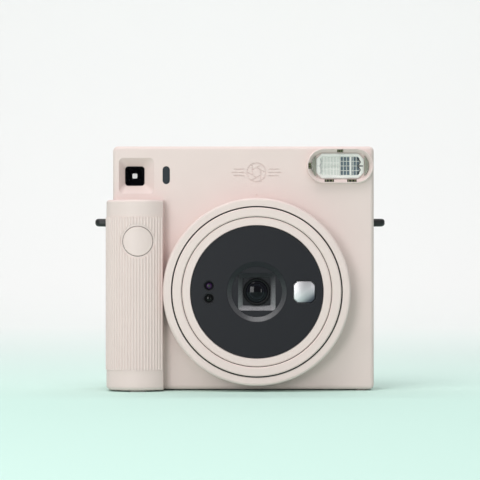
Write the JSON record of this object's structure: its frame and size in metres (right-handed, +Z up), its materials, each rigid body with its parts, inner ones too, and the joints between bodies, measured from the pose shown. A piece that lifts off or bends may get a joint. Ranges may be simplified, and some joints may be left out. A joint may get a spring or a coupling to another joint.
{
  "type": "instant camera",
  "caption": "Compact instant camera for square prints: ribbed grip with shutter button, turning power ring, two-stage lens barrel, flash, viewfinder and hinged film door.",
  "frame": {"origin": "centre of the bounding box's bottom, on the surface that the feet stand on", "axes": "+Z up, -Y towards the subject (the lens side), +X to the right as seen from the front"},
  "size_m": [0.1428, 0.0576, 0.1192],
  "materials": {
    "body_plastic": "matte",
    "dark_plastic": "satin",
    "black_inner": "matte",
    "clear_plastic": "gloss",
    "smoke_window": "gloss",
    "lens_glass": "gloss",
    "mirror": "gloss",
    "reflector": "gloss",
    "steel": "satin",
    "white_plastic": "satin",
    "board_green": "satin",
    "cell_wrap": "gloss",
    "rubber_grip": "matte"
  },
  "bodies": {
    "camera_body": {"front_housing": "body_plastic", "rear_housing": "body_plastic", "grip_shell": "body_plastic", "battery_cover_pin": "steel", "battery_contacts": "steel", "battery_holder": "black_inner", "lithium_cells": "cell_wrap", "release_switch": "black_inner", "button_spring": "steel", "lens_guide_tube": "black_inner", "flash_cover": "clear_plastic", "flash_reflector": "reflector", "flash_tube": "lens_glass", "flash_capacitor": "black_inner", "finder_objective": "lens_glass", "finder_tube": "black_inner", "eyepiece_lens": "lens_glass", "eyepiece_frame": "dark_plastic", "light_sensor_window": "smoke_window", "film_chamber": "black_inner", "roller_bracket": "steel", "film_motor": "steel", "film_slot_trim": "dark_plastic", "cover_hinge_pins": "steel", "strap_lug_left": "dark_plastic", "strap_lug_right": "dark_plastic", "feet": "rubber_grip", "case_screws": "steel", "counter_window": "clear_plastic", "main_board": "board_green"},
    "power_ring": {"power_ring": "body_plastic"},
    "lens_carrier": {"lens_carrier": "body_plastic", "cam_pins": "steel"},
    "inner_barrel": {"lens_barrel": "body_plastic", "face_plate": "dark_plastic", "selfie_mirror": "mirror", "meter_windows": "smoke_window", "lens_hood": "dark_plastic", "front_lens": "lens_glass", "shutter_base": "black_inner", "shutter_cover": "black_inner", "rear_lens": "lens_glass"},
    "shutter_blade_left": {"shutter_blade_left": "black_inner"},
    "shutter_blade_right": {"shutter_blade_right": "black_inner"},
    "shutter_button": {"shutter_button": "body_plastic"},
    "battery_cover": {"battery_cover": "body_plastic"},
    "front_roller": {"front_roller": "steel", "front_roller_gear": "white_plastic"},
    "rear_roller": {"rear_roller": "steel", "rear_roller_gear": "white_plastic"},
    "idler_gear": {"idler_gear": "white_plastic"},
    "motor_rotor": {"motor_pinion": "white_plastic", "motor_shaft": "steel"},
    "back_cover": {"back_cover": "body_plastic", "film_check_window": "clear_plastic", "pressure_springs": "steel"},
    "cover_latch": {"cover_latch": "body_plastic"},
    "counter_wheel": {"counter_wheel": "white_plastic"},
    "film_claw": {"film_claw": "steel"}
  },
  "joints": [
    {"name": "power_ring_turn", "type": "hinge", "parent": "camera_body", "child": "power_ring", "pos_m": [0.0081, -0.02, 0.0483], "axis": [0, -1, 0], "range_deg": [0, 60]},
    {"name": "lens_extend", "type": "slide", "parent": "camera_body", "child": "lens_carrier", "axis": [0, -1, 0], "range_m": [0, 0.016]},
    {"name": "close_up_pull", "type": "slide", "parent": "lens_carrier", "child": "inner_barrel", "axis": [0, -1, 0], "range_m": [0, 0.0045]},
    {"name": "shutter_left_swing", "type": "hinge", "parent": "inner_barrel", "child": "shutter_blade_left", "pos_m": [0.0001, -0.017, 0.0388], "axis": [0, -1, 0], "range_deg": [0, 60]},
    {"name": "shutter_right_swing", "type": "hinge", "parent": "inner_barrel", "child": "shutter_blade_right", "pos_m": [0.0161, -0.017, 0.0388], "axis": [0, 1, 0], "range_deg": [0, 60]},
    {"name": "release_press", "type": "slide", "parent": "camera_body", "child": "shutter_button", "axis": [0, 1, 0], "range_m": [0, 0.0016], "stiffness_N_per_m": 300, "springref_m": -0.001, "deforming": ["button_spring"]},
    {"name": "battery_cover_swing", "type": "hinge", "parent": "camera_body", "child": "battery_cover", "pos_m": [-0.06392, 0.0042, 0.0395], "axis": [0, 0, -1], "range_deg": [0, 95]},
    {"name": "back_cover_swing", "type": "hinge", "parent": "camera_body", "child": "back_cover", "pos_m": [0.0592, 0.0265, 0.055], "axis": [0, 0, -1], "range_deg": [0, 105]},
    {"name": "cover_latch_slide", "type": "slide", "parent": "back_cover", "child": "cover_latch", "axis": [0, 0, -1], "range_m": [0, 0.0035], "stiffness_N_per_m": 200, "springref_m": -0.001},
    {"name": "front_roller_turn", "type": "hinge", "parent": "camera_body", "child": "front_roller", "pos_m": [0.0081, 0.00455, 0.1114], "axis": [1, 0, 0], "continuous": true},
    {"name": "rear_roller_turn", "type": "hinge", "parent": "camera_body", "child": "rear_roller", "pos_m": [0.0081, 0.01185, 0.1114], "axis": [1, 0, 0], "continuous": true},
    {"name": "idler_turn", "type": "hinge", "parent": "camera_body", "child": "idler_gear", "pos_m": [-0.0349, -0.00368, 0.10974], "axis": [1, 0, 0], "continuous": true},
    {"name": "motor_turn", "type": "hinge", "parent": "camera_body", "child": "motor_rotor", "pos_m": [-0.0349, -0.0046, 0.1026], "axis": [1, 0, 0], "continuous": true},
    {"name": "counter_turn", "type": "hinge", "parent": "camera_body", "child": "counter_wheel", "pos_m": [-0.0515, 0.021, 0.074], "axis": [0, 1, 0], "range_deg": [0, 300]},
    {"name": "film_claw_slide", "type": "slide", "parent": "camera_body", "child": "film_claw", "axis": [0, 0, 1], "range_m": [0, 0.0098]}
  ],
  "couplings": [
    {"joint": "lens_extend", "follows": "power_ring_turn", "m_per_rad": 0.015279},
    {"joint": "shutter_right_swing", "follows": "shutter_left_swing", "ratio": 1},
    {"joint": "rear_roller_turn", "follows": "front_roller_turn", "ratio": -1},
    {"joint": "idler_turn", "follows": "front_roller_turn", "ratio": -0.75},
    {"joint": "motor_turn", "follows": "front_roller_turn", "ratio": 1.5}
  ]
}
